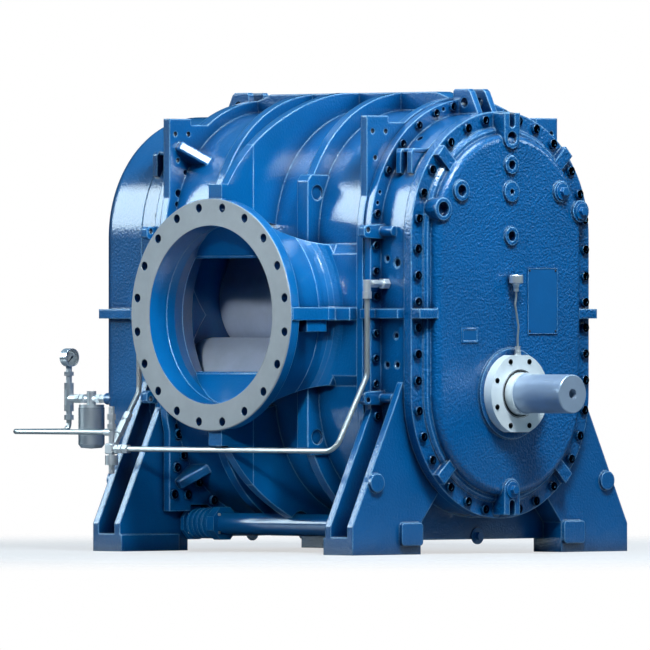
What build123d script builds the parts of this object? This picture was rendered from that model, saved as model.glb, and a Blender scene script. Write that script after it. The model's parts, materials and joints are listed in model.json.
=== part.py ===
from build123d import *
import cmath
import math
import os

# Two-lobe roots vacuum pump. Millimetres. X runs across the pump, the inlet flange at -X and the
# outlet flange at +X. Y runs along the rotor shafts, the drive end at -Y. Z is up from the floor.

# Driving dimensions
MID_Z = 800.0              # floor to the middle of the casing and of the inlet
AXIS_RISE = 264.0          # each rotor axis above or below the middle; also the gears' pitch radius
UPPER_Z = MID_Z + AXIS_RISE
LOWER_Z = MID_Z - AXIS_RISE
TIP_R = 400.0              # rotor tip
TIP_GAP = 0.4              # rotor outline set back all round
BORE_R = 400.6             # rotor chamber
CHAMBER_END = 495.0        # half length of the rotor chamber
END_GAP = 0.6              # rotor end face to side plate

CASING_R = 428.0
RIB_R = 487.0
RIB_Y = 215.0
RIB_THICK = 36.0
WEB_LOW = -32.0            # the central web, between these stations on Y
WEB_HIGH = 2.0
PLATE_THICK = 30.0         # end plates of the casing
BOX_X = 462.0              # side box that carries a nozzle
BOX_Y = 460.0
BOX_RISE = 238.0
PORT_RISE = 191.0          # half height of the port into the rotor chamber

FLANGE_X = 700.0           # face of a nozzle flange
FLANGE_THICK = 39.0
FLANGE_R = 390.0
NOZZLE_R = 300.0
NECK_R = 350.0
NECK_JOINT = 532.0
FLANGE_PCD = 725.0
FLANGE_HOLES = 20
FLANGE_HOLE_R = 15.0

ARC_FLANGE_R = 462.0       # side plate flange, bolted to the casing
ARC_FLANGE_END = 526.0
BARREL_R = 414.0
BARREL_END = 640.0
RIM_R = 419.0              # front cover rim
RIM_END = 676.0
DOME_R = 342.0
DOME_END = 722.0
BOSS_END = 732.0
REAR_R = 415.0
REAR_END = 835.0

FOOT_X = 648.0
FOOT_FRONT = 632.0
FOOT_BACK = 500.0
WEB_PLATE = 27.0
FOOT_INNER = 332.0
FOOT_HOLE_X = 590.0
FOOT_HOLE_Y = 566.0
FOOT_HOLE_R = 16.5

JOURNAL_R = 85.0
SEAT_R = 75.0
BEARING_R = 135.0
BEARING_IN = 560.0
BEARING_OUT = 633.0
GEAR_SEAT_R = 70.0
SHAFT_R = 65.0
SLEEVE_SEAT_R = 66.5
SLEEVE_END = 802.0
SHAFT_END = 1018.0
GEAR_IN = 655.0
GEAR_OUT = 735.0
GEAR_MODULE = 12.0
GEAR_TEETH = 44

BELT_LOW = MID_Z - 18      # the bar that runs round the pump at mid height
BELT_HIGH = MID_Z + 24

TUBE_R = 9.0               # oil pipes
EQUALISER_X = -310.0       # oil equaliser tube between the feet
EQUALISER_Z = 93.0
EQUALISER_R = 37.0

os.makedirs("parts", exist_ok=True)
NODES = {}


def keep(name, *solids):
    """Names the solids of one node."""
    NODES[name] = solids


# ---- Shapes along one axis

def bar_y(outline, low, high):
    """An outline drawn in (x, z), between two stations on Y."""
    return extrude(Plane.XZ.offset(-high) * outline, high - low)


def bar_x(outline, low, high):
    """An outline drawn in (y, z), between two stations on X."""
    return extrude(Plane.YZ.offset(low) * outline, high - low)


def bar_z(outline, low, high):
    """An outline drawn in (x, y), between two heights."""
    return extrude(Plane.XY.offset(low) * outline, high - low)


def disc_y(radius, low, high, x=0.0, z=0.0):
    return bar_y(Pos(x, z) * Circle(radius), low, high)


def disc_x(radius, low, high, y=0.0, z=0.0):
    return bar_x(Pos(y, z) * Circle(radius), low, high)


def disc_z(radius, low, high, x=0.0, y=0.0):
    return bar_z(Pos(x, y) * Circle(radius), low, high)


def block(x_low, x_high, y_low, y_high, z_low, z_high):
    box = Box(x_high - x_low, y_high - y_low, z_high - z_low)
    return Pos((x_low + x_high) / 2, (y_low + y_high) / 2, (z_low + z_high) / 2) * box


def polygon(*points):
    return make_face(Polyline(*points, close=True))


def stadium(radius):
    """The outline round both rotor axes."""
    return Pos(0, MID_Z) * SlotCenterToCenter(2 * AXIS_RISE, 2 * radius, rotation=90)


def two_holes(radius):
    """A circle about each rotor axis."""
    return Pos(0, UPPER_Z) * Circle(radius) + Pos(0, LOWER_Z) * Circle(radius)


def turned_x(points, z=MID_Z):
    """A solid of revolution about an X axis, from (x, radius) points."""
    face = make_face(Plane.XZ * (Pos(0, z) * Polyline(*points, close=True)))
    return revolve(face, Axis((0, 0, z), (1, 0, 0)))


def turned_y(points, x=0.0, z=MID_Z):
    """A solid of revolution about a Y axis, from (y, radius) points."""
    face = make_face(Plane.YZ.offset(x) * (Pos(0, z) * Polyline(*points, close=True)))
    return revolve(face, Axis((x, 0, z), (0, 1, 0)))


def turned_z(points, x=0.0, y=0.0):
    """A solid of revolution about an upright axis, from (radius, z) points."""
    face = make_face(Plane.XZ.offset(-y) * (Pos(x, 0) * Polyline(*points, close=True)))
    return revolve(face, Axis((x, y, 0), (0, 0, 1)))


def ring_y(outer, inner, low, high, x=0.0, z=0.0):
    return disc_y(outer, low, high, x, z) - disc_y(inner, low, high, x, z)


def both_sides(shape):
    return shape + mirror(shape, Plane.YZ)


def above_and_below(shape):
    return shape + mirror(shape, Plane.XY.offset(MID_Z))


def four_ways(shape):
    return above_and_below(both_sides(shape))


def pipe(points, radius, bend):
    """A round tube, straight runs joined by bends."""
    path = FilletPolyline(*points, radius=bend) if len(points) > 2 else Line(*points)
    return sweep(Plane(path @ 0, z_dir=path % 0) * Circle(radius), path=path)


# ---- Casing

def ear_plate():
    """One end plate of the casing: an arc flange with square lifting ears at its corners."""
    arc = stadium(468)
    ear = Pos(399, MID_Z + 503) * Rectangle(100, 326)
    step = Pos(306, MID_Z + 560) * Rectangle(90, 170)
    corner = ear + step
    corner += mirror(corner, Plane.YZ)
    corner += mirror(corner, Plane.XZ.offset(-MID_Z))
    return bar_y(arc + corner, CHAMBER_END - PLATE_THICK, CHAMBER_END)


def ear_holes(y_low, y_high):
    """Rigging and dowel holes in the ears of one end plate."""
    holes = None
    for x, rise, radius in ((422, 614, 8.5), (361, 614, 8.5), (410, 525, 8.5), (376, 484, 8.5), (409, 413, 13), (415, 376, 8.5)):
        hole = four_ways(disc_y(radius, y_low, y_high, x, MID_Z + rise))
        holes = hole if holes is None else holes + hole
    return holes


def gusset():
    """A triangular web that ties an ear to the barrel."""
    reach = 92.0
    bottom = CASING_R - 12
    end = CHAMBER_END - PLATE_THICK
    outline = polygon((end - reach, bottom), (end + 2, bottom), (end + 2, CASING_R + reach), (end - 18, CASING_R + reach))
    web = bar_x(outline, -18, 18)
    web = fillet(web.edges().filter_by(Axis.X).sort_by(Axis.Z)[-2:], 8)
    web = fillet(web.edges().filter_by(lambda edge: edge.center().Z > bottom + 20 and edge.center().Y < end - 2), 7)
    return Pos(0, 0, UPPER_Z) * Rot(0, 53, 0) * web


def central_web():
    """The deep web at mid length that carries a nozzle flange, above and below."""
    end = FLANGE_X - 51
    back = Polyline((0, MID_Z + 751), (0, MID_Z + 600), (400, MID_Z + 300), (end, MID_Z + 340), (end, MID_Z + 439))
    brow = Spline((end, MID_Z + 439), (504, MID_Z + 594), (384, MID_Z + 667), (179, MID_Z + 740), (110, MID_Z + 751))
    outline = make_face(back + brow + Line((110, MID_Z + 751), (0, MID_Z + 751)))
    return bar_y(outline, WEB_LOW, WEB_HIGH)


def flange_bar():
    """The upright bar that ends the central web, over the rim of the flange."""
    return block(FLANGE_X - 53, FLANGE_X - 22, -32, 32, MID_Z + NECK_R - 20, MID_Z + 439)


def keel():
    """The ridge along the top of the casing."""
    end = CHAMBER_END - PLATE_THICK
    outline = polygon(
        (-end, MID_Z + 650),
        (end, MID_Z + 650),
        (end, MID_Z + 731),
        (end - 64, MID_Z + 752),
        (-end + 64, MID_Z + 752),
        (-end, MID_Z + 731),
    )
    return bar_x(outline, -35, 35)


def side_rib(station):
    """A hoop rib round the barrel, flat at the sides."""
    hoop = stadium(RIB_R) & Pos(0, MID_Z) * Rectangle(2 * (BOX_X + 2), 2000)
    return bar_y(hoop, station - RIB_THICK / 2, station + RIB_THICK / 2)


def eye_pad(station):
    """The wider stretch of a hoop rib, with a rigging eye."""
    outline = polygon(
        (380, MID_Z + 200),
        (478, MID_Z + 200),
        (478, MID_Z + 448),
        (462, MID_Z + 470),
        (380, MID_Z + 470),
    )
    pad = bar_y(outline, station - 26, station + 26)
    return pad - disc_y(25, station - 40, station + 40, 434, MID_Z + 410)


def neck_belt(x_low, x_high):
    """The stretch of the mid height bar that runs along the neck to the flange."""
    bar = block(x_low, x_high, 330, 396, BELT_LOW, BELT_HIGH)
    return bar + mirror(bar, Plane.XZ)


def neck_wedge():
    """The neck in front view, drawn in above and below towards the port."""
    upper = [(380, 236), (459, 236), (550, 266), (590, 285), (620, 350), (624, 420), (FLANGE_X + 20, 420)]
    points = [(x, MID_Z + rise) for x, rise in upper]
    return polygon(*points, *[(x, 2 * MID_Z - z) for x, z in reversed(points)])


def nozzle_foot():
    """The flare that joins the nozzle neck to the casing."""
    outline = [
        (380, 0),
        (380, 408),
        (460, 402),
        (466, 384),
        (476, 368),
        (490, 357),
        (506, 352),
        (NECK_JOINT, NECK_R),
        (NECK_JOINT, 0),
    ]
    return turned_x(outline) & bar_y(neck_wedge(), -NECK_R - 80, NECK_R + 80)


def throat():
    """The way through the neck: round at the flange, then sloped in above and below to the port."""
    slopes = polygon(
        (520, MID_Z + 184),
        (622, MID_Z + 302),
        (640, MID_Z + 302),
        (640, MID_Z - 302),
        (622, MID_Z - 302),
        (520, MID_Z - 184),
    )
    flare = turned_x([(526, 0), (526, 318), (583, NOZZLE_R - 1.5), (621, NOZZLE_R - 1.5), (621, 0)])
    mouth = disc_x(NOZZLE_R, 620, FLANGE_X + 1, 0, MID_Z) + (flare & bar_y(slopes, -NECK_R, NECK_R))
    neck = turned_x([(427, 0), (427, 374), (526, 318), (527, 318), (527, 0)])
    return mouth + (neck & block(400, 540, -NECK_R - 30, NECK_R + 30, MID_Z - PORT_RISE, MID_Z + PORT_RISE))


def rotor_casing():
    end = CHAMBER_END - PLATE_THICK
    body = bar_y(stadium(CASING_R), -end, end)
    box = chamfer(block(-BOX_X, BOX_X, -BOX_Y, BOX_Y, MID_Z - BOX_RISE, MID_Z + BOX_RISE).edges().filter_by(Axis.Y), 34)
    body += box
    body += ear_plate()
    body += mirror(ear_plate(), Plane.XZ)
    body += above_and_below(keel())
    for station in (-RIB_Y, RIB_Y):
        body += side_rib(station)
    body += four_ways(eye_pad(-RIB_Y))
    body += both_sides(nozzle_foot())
    web = central_web() - block(NECK_JOINT, 800, -100, 100, 0, 2000)
    body += four_ways(web)
    belt = block(BOX_X - 20, 500, -end, end, BELT_LOW, BELT_HIGH)
    body += both_sides(belt + neck_belt(BOX_X - 20, NECK_JOINT))
    gussets = gusset()
    gussets += mirror(gussets, Plane.XZ)
    body += four_ways(gussets)
    body -= bar_y(two_holes(BORE_R) + Pos(0, MID_Z) * Rectangle(560, 2 * PORT_RISE), -CHAMBER_END - 1, CHAMBER_END + 1)
    body -= block(-437, 437, -440, 440, MID_Z - PORT_RISE, MID_Z + PORT_RISE)
    body -= both_sides(throat())
    body -= disc_y(EQUALISER_R + 8, -100, 100, EQUALISER_X, EQUALISER_Z)
    body -= ear_holes(-CHAMBER_END - 1, -end + 1)
    body -= ear_holes(end - 1, CHAMBER_END + 1)
    return body


def nozzle():
    """The neck and flange of the outlet, and mirrored of the inlet."""
    back = FLANGE_X - FLANGE_THICK
    body = turned_x([
        (NECK_JOINT, 0),
        (NECK_JOINT, NECK_R),
        (back - 24, NECK_R),
        (back - 18, 372),
        (back, 372),
        (back, FLANGE_R),
        (FLANGE_X - 3, FLANGE_R),
        (FLANGE_X, FLANGE_R - 3),
        (FLANGE_X, 0),
    ])
    body &= bar_y(neck_wedge(), -FLANGE_R - 1, FLANGE_R + 1)
    web = central_web() & block(NECK_JOINT, back + 1, -100, 100, 0, 2000)
    body += above_and_below(web + flange_bar())
    body += neck_belt(NECK_JOINT, FLANGE_X - 4)
    body += block(NECK_JOINT, 622, -386, -330, MID_Z - 56, MID_Z - 17)
    body -= throat()
    holes = Sketch() + PolarLocations(FLANGE_PCD / 2, FLANGE_HOLES, start_angle=9) * Circle(FLANGE_HOLE_R)
    return body - bar_x(Pos(0, MID_Z) * holes, back - 30, FLANGE_X + 1)


# ---- Side plates, with the bearing hubs, feet and lifting lugs

def foot_outline():
    """One leg in front view, from the floor up to the barrel."""
    return polygon(
        (FOOT_INNER, 0),
        (FOOT_X, 0),
        (FOOT_X, 95),
        (416, 573),
        (340, 573),
        (200, 300),
        (258, 192),
        (FOOT_INNER, 101),
    )


def foot():
    """A channel leg: two webs, a closing wall set back between them, a core hole and a base."""
    leg = bar_y(foot_outline(), -FOOT_FRONT, -FOOT_BACK)
    lean = (FOOT_X - 416) / (573 - 95)
    recess = polygon(
        (FOOT_X + 20, 60),
        (FOOT_X + 20, 700),
        (416 - 70 - 127 * lean, 700),
        (416 - 70, 573),
        (FOOT_X - 100, 95),
        (FOOT_X - 100, 60),
    )
    leg -= bar_y(recess, -FOOT_FRONT + WEB_PLATE, -FOOT_BACK - WEB_PLATE)
    core = polygon(
        (FOOT_INNER + WEB_PLATE, -1),
        (FOOT_X - 125, -1),
        (FOOT_X - 125, 95),
        (416 - 95, 573),
        (245, 340),
        (292, 205),
        (FOOT_INNER + WEB_PLATE, 118),
    )
    leg -= bar_y(core, -FOOT_FRONT + WEB_PLATE, -FOOT_BACK - WEB_PLATE)
    leg += block(378, FOOT_X, -FOOT_BACK - 1, -FOOT_BACK + 8, 0, 57)
    leg += disc_y(32, -FOOT_FRONT - 12, -FOOT_FRONT + 1, 543, 240)
    pad = block(FOOT_INNER + 2, 432, -FOOT_FRONT - 14, -FOOT_FRONT + 1, 30, 106)
    leg += fillet(pad.edges().filter_by(Axis.Y), 12)
    return leg - disc_z(FOOT_HOLE_R, -1, 61, FOOT_HOLE_X, -FOOT_HOLE_Y)


def lifting_lug():
    """A plate over the top of the side plate, with a shackle hole."""
    outline = polygon(
        (-FOOT_BACK + 2, MID_Z + 680),
        (-FOOT_BACK + 2, MID_Z + 752),
        (-FOOT_BACK - 5, MID_Z + 759),
        (-566, MID_Z + 759),
        (-578, MID_Z + 750),
        (-624, MID_Z + 660),
        (-560, MID_Z + 640),
    )
    lug = bar_x(outline, -12, 12) - disc_x(16, -20, 20, -550, MID_Z + 713)
    return both_sides(Pos(35, 0, 0) * lug)


def hub():
    """The outside of a bearing hub."""
    return disc_y(185, -636, -540)


def hub_bore():
    """A bearing seat, and the shaft's way through the wall."""
    return disc_y(BEARING_R, -637, -BEARING_IN) + disc_y(JOURNAL_R + 5, -BEARING_IN - 1, -CHAMBER_END + 1)


def pipe_lug():
    """A side lug with a cross bar, beside the arc flange."""
    bar = disc_y(17, -600, -ARC_FLANGE_END + 2, 422, MID_Z + 279)
    plate = polygon(
        (400, MID_Z + 252),
        (498, MID_Z + 257),
        (509, MID_Z + 265),
        (509, MID_Z + 291),
        (498, MID_Z + 299),
        (400, MID_Z + 304),
    )
    lug = bar_y(plate, -ARC_FLANGE_END - 18, -ARC_FLANGE_END + 12)
    lug -= disc_y(9, -560, -500, 490, MID_Z + 284)
    return bar + lug


def jacking_lug():
    """Two fins under a short roof, on the shoulder of the barrel."""
    fin = polygon((290, MID_Z + 440), (372, MID_Z + 474), (372, MID_Z + 545), (362, MID_Z + 556), (290, MID_Z + 556))
    lug = bar_y(fin, -578, -556) + bar_y(fin, -630, -608)
    return lug + block(290, 360, -632, -545, MID_Z + 544, MID_Z + 556)


def pry_slot():
    """A notch in the barrel's end, to part the cover with a bar."""
    sector = polygon((0, 0), (600 * math.cos(math.radians(39)), 600 * math.sin(math.radians(39))), (380, 464))
    ring = bar_y(Circle(BARREL_R + 2) - Circle(BARREL_R - 12), -BARREL_END - 1, -BARREL_END + 9)
    return Pos(0, 0, UPPER_Z) * (ring & bar_y(sector, -BARREL_END - 2, -BARREL_END + 10))


# Holes in the flat of the barrel: y, rise above the middle, radius
BARREL_HOLES = ((-556, 188, 9), (-604, 174, 13), (-599, -70, 9), (-556, -167, 9), (-604, -167, 9))


def side_plate(drain_x):
    """The drive-end side plate; the gear-end one is its mirror image."""
    body = bar_y(stadium(ARC_FLANGE_R), -ARC_FLANGE_END, -CHAMBER_END)
    body += bar_y(stadium(BARREL_R), -BARREL_END, -ARC_FLANGE_END + 1)
    body -= bar_y(stadium(370), -BARREL_END - 1, -545)
    legs = both_sides(foot()) - bar_y(stadium(400), -700, -495)
    body += legs
    body += block(-FOOT_INNER, FOOT_INNER, -545, -518, 46, 340) - bar_y(stadium(400), -700, -495)
    for z in (UPPER_Z, LOWER_Z):
        body += Pos(0, 0, z) * hub()
        body -= Pos(0, 0, z) * hub_bore()
    body += lifting_lug()
    body += four_ways(pipe_lug())
    belt = block(400, 448, -BARREL_END, -ARC_FLANGE_END + 1, MID_Z - 12, MID_Z + 20)
    belt += block(440, 482, -ARC_FLANGE_END - 6, -CHAMBER_END, MID_Z - 12, MID_Z + 20)
    body += both_sides(belt)
    body += both_sides(jacking_lug())
    body -= both_sides(pry_slot())
    sight = Pos(0, 0, UPPER_Z) * Rot(0, -38, 0) * disc_z(11, BARREL_R - 14, BARREL_R + 20, 0, -549)
    body -= both_sides(sight)
    for y, rise, radius in BARREL_HOLES:
        body -= disc_x(radius, -BARREL_R - 1, -BARREL_R + 16, y, MID_Z + rise)
        body -= disc_x(radius + 4, -BARREL_R - 1, -BARREL_R + 2, y, MID_Z + rise)
    for angle in (14.4, 19.3, 74.1):
        x = CASING_BOLT_R * math.cos(math.radians(angle))
        rise = AXIS_RISE + CASING_BOLT_R * math.sin(math.radians(angle))
        body -= both_sides(disc_y(6.5, -ARC_FLANGE_END - 1, -ARC_FLANGE_END + 18, x, MID_Z + rise))
    return body - disc_y(15, -546, -530, drain_x, 57)


# ---- Covers

def half_circle_points(radius, angles):
    """Places round the two rotor axes, as (x, z), all four quadrants."""
    places = []
    for angle in angles:
        x = radius * math.cos(math.radians(angle))
        rise = AXIS_RISE + radius * math.sin(math.radians(angle))
        places += [(x, MID_Z + rise), (-x, MID_Z + rise), (x, MID_Z - rise), (-x, MID_Z - rise)]
    return places


def column_points(radius, rises):
    """Places down the straight sides, as (x, z)."""
    places = []
    for rise in rises:
        places += [(radius, MID_Z + rise), (-radius, MID_Z + rise), (radius, MID_Z - rise), (-radius, MID_Z - rise)]
    return places


COVER_BOLT_R = 395.0
COVER_BOLTS = column_points(COVER_BOLT_R, (43, 131, 220)) + half_circle_points(
    COVER_BOLT_R, (8.3, 21.2, 34, 52.2, 66, 78.5)
)
CASING_BOLT_R = 443.0
CASING_BOLTS = column_points(CASING_BOLT_R, (62, 146, 231)) + half_circle_points(
    CASING_BOLT_R, (9.7, 29.6, 44.2, 56.9, 68.7, 79.4)
)
REAR_BOLT_R = 345.0
REAR_BOLTS = column_points(REAR_BOLT_R, (66, 198)) + half_circle_points(REAR_BOLT_R, (22, 45, 68))

EAR_SCREWS = ((412, -404), (389, -476), (420, -517), (318, -568), (432, -608), (369, -610), (249, -630))

# Bosses on the front cover: x, rise above the middle, radius, hole radius
COVER_BOSSES = (
    (0, 503, 31, 15),
    (0, 413, 35, 9),
    (0, 264, 31, 17),
    (-235, 415, 35, 19),
    (235, 415, 35, 15),
)
RIM_BOSSES = ((-322, 353, 38, 24), (326, 349, 37, 15))


def cover_lug(rise, hole_r):
    """A U-shaped boss that runs out over the rim."""
    way = 1 if rise > 0 else -1
    outline = Pos(0, MID_Z + rise) * Circle(36) + Pos(0, MID_Z + rise + way * 42) * Rectangle(72, 84)
    outline -= Pos(0, MID_Z + rise + way * 62) * SlotOverall(56, 24, rotation=90)
    return bar_y(outline, -BOSS_END, -RIM_END + 20) - disc_y(hole_r, -BOSS_END - 1, -BOSS_END + 24, 0, MID_Z + rise)


def front_cover():
    body = bar_y(stadium(RIM_R), -RIM_END, -BARREL_END)
    base = bar_y(stadium(366), -RIM_END - 14, -RIM_END + 2)
    body += chamfer(base.faces().sort_by(Axis.Y)[0].edges(), 10)
    dome = bar_y(stadium(DOME_R), -DOME_END, -RIM_END + 2)
    body += fillet(dome.faces().sort_by(Axis.Y)[0].edges(), 24)
    corner = Pos(0, UPPER_Z) * Rot(0, 0, 43.5) * Pos(COVER_BOLT_R - 18, 0) * Rectangle(78, 44)
    body += four_ways(bar_y(corner, -RIM_END - 24, -RIM_END + 2))
    side_bar = block(330, 418, -RIM_END - 40, -RIM_END + 1, MID_Z - 12, MID_Z + 20)
    body += both_sides(side_bar)
    for x, rise, radius, hole_r in COVER_BOSSES:
        body += disc_y(radius, -BOSS_END, -DOME_END + 2, x, MID_Z + rise)
    for x, rise, radius, hole_r in RIM_BOSSES:
        body += disc_y(radius, -BOSS_END, -RIM_END + 2, x, MID_Z + rise)
    body += disc_y(152, -BOSS_END - 1, -DOME_END + 2, 0, LOWER_Z)
    body -= bar_y(stadium(360), -RIM_END + 8, -BARREL_END + 1)
    body -= bar_y(stadium(312), -DOME_END + 22, -RIM_END + 9)
    for x, rise, radius, hole_r in COVER_BOSSES + RIM_BOSSES:
        body -= disc_y(hole_r, -BOSS_END - 1, -BOSS_END + 24, x, MID_Z + rise)
    body += cover_lug(593, 21)
    body += cover_lug(-586, 15)
    return body - disc_y(95, -BOSS_END - 2, -DOME_END + 30, 0, LOWER_Z)


def rear_cover():
    body = bar_y(stadium(REAR_R), BARREL_END, REAR_END)
    body = fillet(body.faces().sort_by(Axis.Y)[-1].edges(), 50)
    side_bar = block(400, 446, BARREL_END, REAR_END - 15, MID_Z - 12, MID_Z + 20)
    body += both_sides(side_bar)
    body += disc_y(20, REAR_END - 40, REAR_END, COLUMN_X, TEE_Z)
    body -= bar_y(stadium(318), BARREL_END - 1, REAR_END - 30)
    return body


def bearing_caps():
    """Outer rings of the four shaft bearings, with their shields."""
    rings = []
    for z in (UPPER_Z, LOWER_Z):
        ring = ring_y(BEARING_R, 94, -BEARING_OUT, -BEARING_IN, 0, z)
        rings += [ring, mirror(ring, Plane.XZ)]
    return rings


# ---- Rotors, shafts and gears

# The tip circle crosses the pitch circle at 45 degrees, where the waist begins.
TIP_CENTRE = (TIP_R ** 2 - AXIS_RISE ** 2) / (2 * TIP_R - math.sqrt(2) * AXIS_RISE)
TIP_CIRCLE_R = TIP_R - TIP_CENTRE


def waist_point(turn):
    """Where the other rotor's tip circle touches this rotor, at a turn given in degrees."""
    spin = math.radians(turn)
    other_tip = 2 * AXIS_RISE * cmath.exp(1j * (math.pi / 2 - spin)) + TIP_CENTRE * cmath.exp(-1j * (math.pi / 2 + 2 * spin))
    pitch_point = AXIS_RISE * cmath.exp(1j * (math.pi / 2 - spin))
    way = (pitch_point - other_tip) / abs(pitch_point - other_tip)
    contact = other_tip + (TIP_CIRCLE_R + TIP_GAP) * way
    return contact.real, contact.imag


def rotor_outline():
    """A two-lobe outline, lobes along x: round tips, and waists conjugate to the mating tips."""
    turns = [45 - 9 * step for step in range(11)]
    waist = [waist_point(turn) for turn in turns]
    opposite = [(-x, -y) for x, y in waist]
    tip = TIP_R - TIP_GAP
    edges = Spline(*waist)
    edges += ThreePointArc(waist[-1], (-tip, 0), opposite[0])
    edges += Spline(*opposite)
    edges += ThreePointArc(opposite[-1], (tip, 0), waist[0])
    return make_face(edges)


def shaft(front_end):
    """Stepped shaft with journals, bearing seats and a gear seat."""
    lobes_end = CHAMBER_END - END_GAP
    steps = disc_y(JOURNAL_R, -BEARING_IN, -lobes_end + 1) + disc_y(JOURNAL_R, lobes_end - 1, BEARING_IN)
    steps += disc_y(SEAT_R, -BARREL_END, -BEARING_IN + 1) + disc_y(SEAT_R, BEARING_IN - 1, BARREL_END)
    steps += disc_y(GEAR_SEAT_R, BARREL_END - 1, GEAR_OUT) + disc_y(60, GEAR_OUT - 1, GEAR_OUT + 36)
    if front_end > BARREL_END:
        steps += disc_y(GEAR_SEAT_R, -DOME_END, -BARREL_END + 1)
        steps += disc_y(SLEEVE_SEAT_R, -SLEEVE_END, -DOME_END + 1)
        steps += chamfer(disc_y(SHAFT_R, -front_end, -SLEEVE_END + 1).faces().sort_by(Axis.Y)[0].edges(), 3)
    return steps


def rotor(axis_z, lobe_angle, front_end):
    lobes_end = CHAMBER_END - END_GAP
    body = bar_y(Rot(0, 0, lobe_angle) * rotor_outline(), -lobes_end, lobes_end)
    return Pos(0, 0, axis_z) * (body + shaft(front_end))


def gear_outline(first_tooth):
    """A spur gear outline with one tooth centred on an angle in degrees."""
    root_r = AXIS_RISE - 1.25 * GEAR_MODULE
    tip_r = AXIS_RISE + GEAR_MODULE
    pitch = 360 / GEAR_TEETH
    half_root = 0.36 * pitch
    half_mid = 0.2425 * pitch
    half_tip = 0.125 * pitch
    points = []
    for tooth in range(GEAR_TEETH):
        middle = first_tooth + tooth * pitch
        for radius, offset in (
            (root_r, -half_root),
            (AXIS_RISE, -half_mid),
            (tip_r, -half_tip),
            (tip_r, half_tip),
            (AXIS_RISE, half_mid),
            (root_r, half_root),
        ):
            angle = math.radians(middle + offset)
            points.append((radius * math.cos(angle), radius * math.sin(angle)))
    return polygon(*points)


def timing_gear(axis_z, first_tooth):
    """A spur gear with a thinned web between rim and hub."""
    gear = bar_y(gear_outline(first_tooth) - Circle(GEAR_SEAT_R), GEAR_IN, GEAR_OUT)
    gear -= ring_y(225, 110, GEAR_OUT - 24, GEAR_OUT + 1)
    return Pos(0, 0, axis_z) * gear


def lock_nut(axis_z):
    nut = RegularPolygon(92, 8) - Circle(60)
    return Pos(0, 0, axis_z) * bar_y(nut, GEAR_OUT, GEAR_OUT + 30)


# ---- Seal and breather

def seal_cover():
    """The silver disc round the drive shaft, flattened above and below."""
    disc = Circle(135) & Rectangle(280, 258)
    body = bar_y(Pos(0, LOWER_Z) * disc, -768, -BOSS_END - 1)
    body -= ring_y(80, 72, -769, -756, 0, LOWER_Z)
    return body - disc_y(71.5, -770, -730, 0, LOWER_Z)


def shaft_sleeve():
    return ring_y(71, SLEEVE_SEAT_R, -SLEEVE_END + 2, -DOME_END - 12, 0, LOWER_Z)


def breather():
    """A filter cap on a cone, over the seal's vent tube."""
    z = MID_Z
    outline = [(0, 134), (21, 134), (23.5, 131), (23.5, 107), (13, 103), (8.5, 92), (8.5, 78), (0, 78)]
    return turned_z([(radius, z + rise) for radius, rise in outline], 0, -750)


VENT_ROUTE = (
    (0, -750, MID_Z + 78),
    (0, -750, MID_Z + 58),
    (-5, -750, MID_Z + 34),
    (9, -752, MID_Z - 40),
    (6, -751, MID_Z - 78),
    (6, -751, MID_Z - 105),
)


def vent_fitting():
    body = disc_z(9, MID_Z - 120, MID_Z - 105, 6, -751)
    body += bar_z(Pos(6, -751) * RegularPolygon(11, 6), MID_Z - 135, MID_Z - 120)
    return body


# ---- Fasteners

def screws(places, seat, way, head_r, head_h, shank_r, depth):
    """Round-headed screws along Y. The head stands on the seat, on the side that way gives."""
    group = []
    for x, z in places:
        low, high = sorted((seat, seat + way * head_h))
        inner_low, inner_high = sorted((seat, seat - way * depth))
        group.append(disc_y(head_r, low, high, x, z) + disc_y(shank_r, inner_low, inner_high, x, z))
    return group


def hex_plug(x, z, seat, across=15, washer=28):
    """A hexagon plug and its washer, on the front cover or the sump."""
    head = bar_y(Pos(x, z) * RegularPolygon(across, 6), seat - 20, seat - 5)
    collar = disc_y(washer, seat - 5, seat, x, z)
    return head + collar


# ---- Oil system at the inlet side

LINE_X = -655.0            # the long oil line, outside the feet and the webs
LINE_Z = 347.0
MANIFOLD_Y = 533.0
DROP_X = -507.0            # the upright pipes below the side fittings
DROP_Y = 555.0
DROP_Z = MID_Z + 104
RETURN_Z = 403.0
COLUMN_X = -392.0
COLUMN_Y = 1028.0
TEE_Z = 514.0
FILTER_Y = 915.0
GAUGE_Z = 655.0


def side_fitting(y):
    """A fitting screwed into a side plate, with an elbow that turns down."""
    body = bar_x(Pos(y, DROP_Z) * RegularPolygon(18.5, 6), -440, -412)
    body += disc_x(11, DROP_X, -439, y, DROP_Z)
    body += bar_x(Pos(y, DROP_Z) * RegularPolygon(14.5, 6), -486, -464)
    body += disc_z(13, DROP_Z - 26, DROP_Z + 13, DROP_X, y)
    body += bar_z(Pos(DROP_X, y) * RegularPolygon(16, 6), DROP_Z - 50, DROP_Z - 26)
    return body - bar_y(stadium(BARREL_R), -700, 700)


def drive_end_oil_pipe():
    route = (
        (DROP_X, -DROP_Y, DROP_Z - 50),
        (DROP_X, -DROP_Y, 597),
        (LINE_X, -DROP_Y, LINE_Z),
        (LINE_X, MANIFOLD_Y - 84, LINE_Z),
    )
    return pipe(route, TUBE_R, 40)


def slant():
    """The way of the slanted pipe, from the manifold up to the foot of the gear-end drop."""
    return Vector(DROP_X - LINE_X, DROP_Y - MANIFOLD_Y, 540 - LINE_Z).normalized()


def gear_end_oil_pipe():
    joint = Vector(LINE_X, MANIFOLD_Y, LINE_Z) + slant() * 150
    return pipe(((DROP_X, DROP_Y, DROP_Z - 50), (DROP_X, DROP_Y, 540), tuple(joint)), TUBE_R, 40)


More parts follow.
